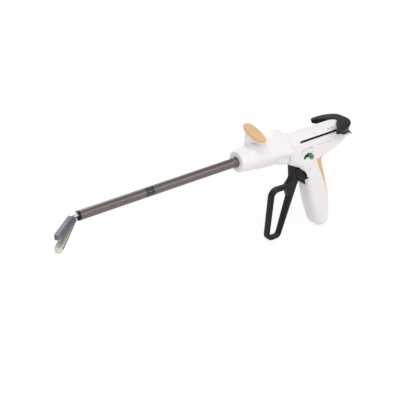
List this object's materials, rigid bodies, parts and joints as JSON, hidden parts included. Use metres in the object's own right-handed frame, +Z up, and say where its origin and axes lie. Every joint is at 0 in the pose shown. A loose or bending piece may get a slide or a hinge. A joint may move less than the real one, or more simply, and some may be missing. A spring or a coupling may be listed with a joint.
{
  "type": "endoscopic linear stapler",
  "caption": "Hand-held endoscopic linear stapler: pistol handle with finger-loop trigger, fluted rotation collar, long thin shaft and a bending two-jaw tool that staples and cuts.",
  "frame": {"origin": "on the shaft axis at the front edge of the nose ferrule, where the bare 12 mm shaft starts", "axes": "+X along the shaft towards the handle's rear, +Y to the instrument's right, +Z up towards the lever"},
  "size_m": [0.4756, 0.0667, 0.1646],
  "materials": {
    "white_plastic": "satin",
    "black_plastic": "satin",
    "tan_elastomer": "matte",
    "green_plastic": "gloss",
    "shaft_steel": "brushed",
    "band_print": "satin",
    "jaw_steel": "brushed",
    "cartridge_plastic": "matte",
    "nose_plastic": "matte",
    "joint_steel": "satin",
    "drive_steel": "machined"
  },
  "bodies": {
    "handle": {"left_handle_shell": "white_plastic", "right_handle_shell": "white_plastic", "grip_backstrap": "tan_elastomer", "trigger_pivot_pin": "drive_steel", "shell_screws": "drive_steel", "trigger_spring": "drive_steel"},
    "trigger": {"firing_trigger": "black_plastic", "pawl_pin": "drive_steel"},
    "pawl": {"drive_pawl": "drive_steel"},
    "carriage": {"firing_rack": "drive_steel", "firing_rod": "drive_steel", "saddle_crossbar": "black_plastic", "retraction_saddle": "black_plastic"},
    "selector": {"selector_disc": "black_plastic", "selector_knob": "green_plastic"},
    "shaft": {"rotation_collar": "white_plastic", "shaft_tube": "shaft_steel", "nose_ferrule": "shaft_steel"},
    "lever": {"articulation_lever": "white_plastic", "lever_pad": "tan_elastomer"},
    "shaft_link": {"articulation_link": "drive_steel"},
    "loading_unit": {"loading_unit_tube": "shaft_steel", "alignment_band": "band_print", "boot_ring": "black_plastic", "mounting_knuckle": "joint_steel", "articulation_pin": "joint_steel"},
    "reload_link": {"unit_link": "drive_steel"},
    "tool": {"tool_knuckle": "joint_steel", "anvil": "jaw_steel", "jaw_hinge_pin": "joint_steel"},
    "cartridge_jaw": {"cartridge_channel": "jaw_steel", "staple_cartridge": "cartridge_plastic", "cartridge_nose": "nose_plastic"},
    "knife": {"knife_blade": "joint_steel"}
  },
  "joints": [
    {"name": "trigger_squeeze", "type": "hinge", "parent": "handle", "child": "trigger", "pos_m": [0.099, 0, -0.014], "axis": [0, 1, 0], "range_deg": [-17, 0], "stiffness_Nm_per_rad": 0.6, "springref_deg": 2.86},
    {"name": "pawl_pivot", "type": "hinge", "parent": "trigger", "child": "pawl", "pos_m": [0.107, 0, -0.013], "axis": [0, 1, 0], "range_deg": [-10, 0], "stiffness_Nm_per_rad": 0.002, "springref_deg": 22.92},
    {"name": "carriage_slide", "type": "slide", "parent": "handle", "child": "carriage", "axis": [-1, 0, 0], "range_m": [0, 0.038]},
    {"name": "selector_turn", "type": "hinge", "parent": "handle", "child": "selector", "pos_m": [0.1165, 0, -0.0238], "axis": [0, 1, 0], "range_deg": [-70, 0]},
    {"name": "collar_rotation", "type": "hinge", "parent": "handle", "child": "shaft", "pos_m": [0.06, 0, 0], "axis": [1, 0, 0], "continuous": true},
    {"name": "lever_turn", "type": "hinge", "parent": "shaft", "child": "lever", "pos_m": [0.036, 0, 0], "axis": [0, 0, 1], "range_deg": [-3.5, 41.5]},
    {"name": "shaft_link_slide", "type": "slide", "parent": "shaft", "child": "shaft_link", "axis": [1, 0, 0], "range_m": [-0.0053, 0.0006]},
    {"name": "loading_unit_twist", "type": "hinge", "parent": "shaft", "child": "loading_unit", "pos_m": [-0.124, 0, 0], "axis": [1, 0, 0], "range_deg": [0, 45]},
    {"name": "unit_link_slide", "type": "slide", "parent": "loading_unit", "child": "reload_link", "axis": [1, 0, 0], "range_m": [-0.0053, 0.0006]},
    {"name": "tool_articulation", "type": "hinge", "parent": "loading_unit", "child": "tool", "pos_m": [-0.236, 0, 0], "axis": [0, 0, 1], "range_deg": [-83, 7]},
    {"name": "jaw_close", "type": "hinge", "parent": "tool", "child": "cartridge_jaw", "pos_m": [-0.24404, -0.00628, -0.0015], "axis": [-0.6157, 0.788, 0], "range_deg": [0, 16], "stiffness_Nm_per_rad": 0.05, "springref_deg": -11.46},
    {"name": "knife_slide", "type": "slide", "parent": "tool", "child": "knife", "axis": [-0.788, -0.6157, 0], "range_m": [0, 0.038]}
  ],
  "couplings": [
    {"joint": "shaft_link_slide", "follows": "lever_turn", "m_per_rad": -0.0071},
    {"joint": "unit_link_slide", "follows": "lever_turn", "m_per_rad": -0.0071},
    {"joint": "tool_articulation", "follows": "lever_turn", "ratio": -2},
    {"joint": "knife_slide", "follows": "carriage_slide", "ratio": 1}
  ]
}
